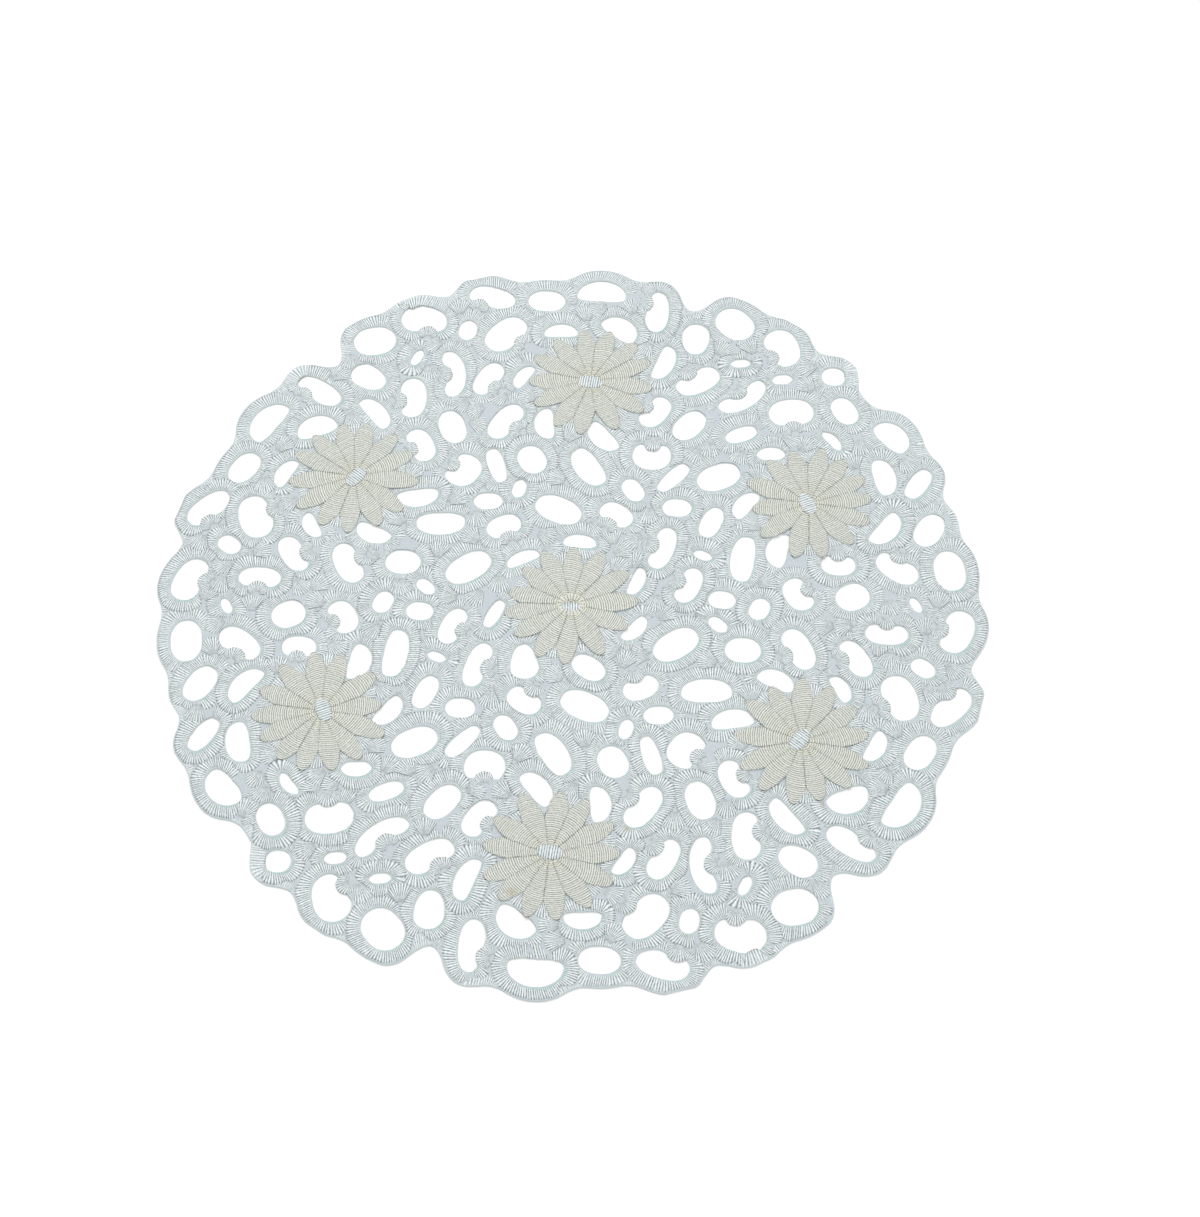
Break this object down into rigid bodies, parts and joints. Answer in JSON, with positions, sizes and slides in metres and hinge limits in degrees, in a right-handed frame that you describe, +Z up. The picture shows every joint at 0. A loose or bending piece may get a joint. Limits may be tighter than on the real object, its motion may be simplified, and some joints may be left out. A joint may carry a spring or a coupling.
{
  "type": "lace doily",
  "caption": "Round cutwork lace doily, flat, with a scalloped satin-stitched rim, kidney-shaped cut holes all over and raised cream daisies.",
  "frame": {"origin": "centre of the underside, under the middle daisy", "axes": "+Z up out of the embroidered side, +X to the right and -Y towards the viewer of the picture"},
  "size_m": [0.4052, 0.4038, 0.0022],
  "materials": {
    "white_thread": "satin",
    "cream_thread": "satin",
    "ground_cloth": "matte"
  },
  "bodies": {
    "root": {"doily": "white_thread"}
  },
  "joints": []
}
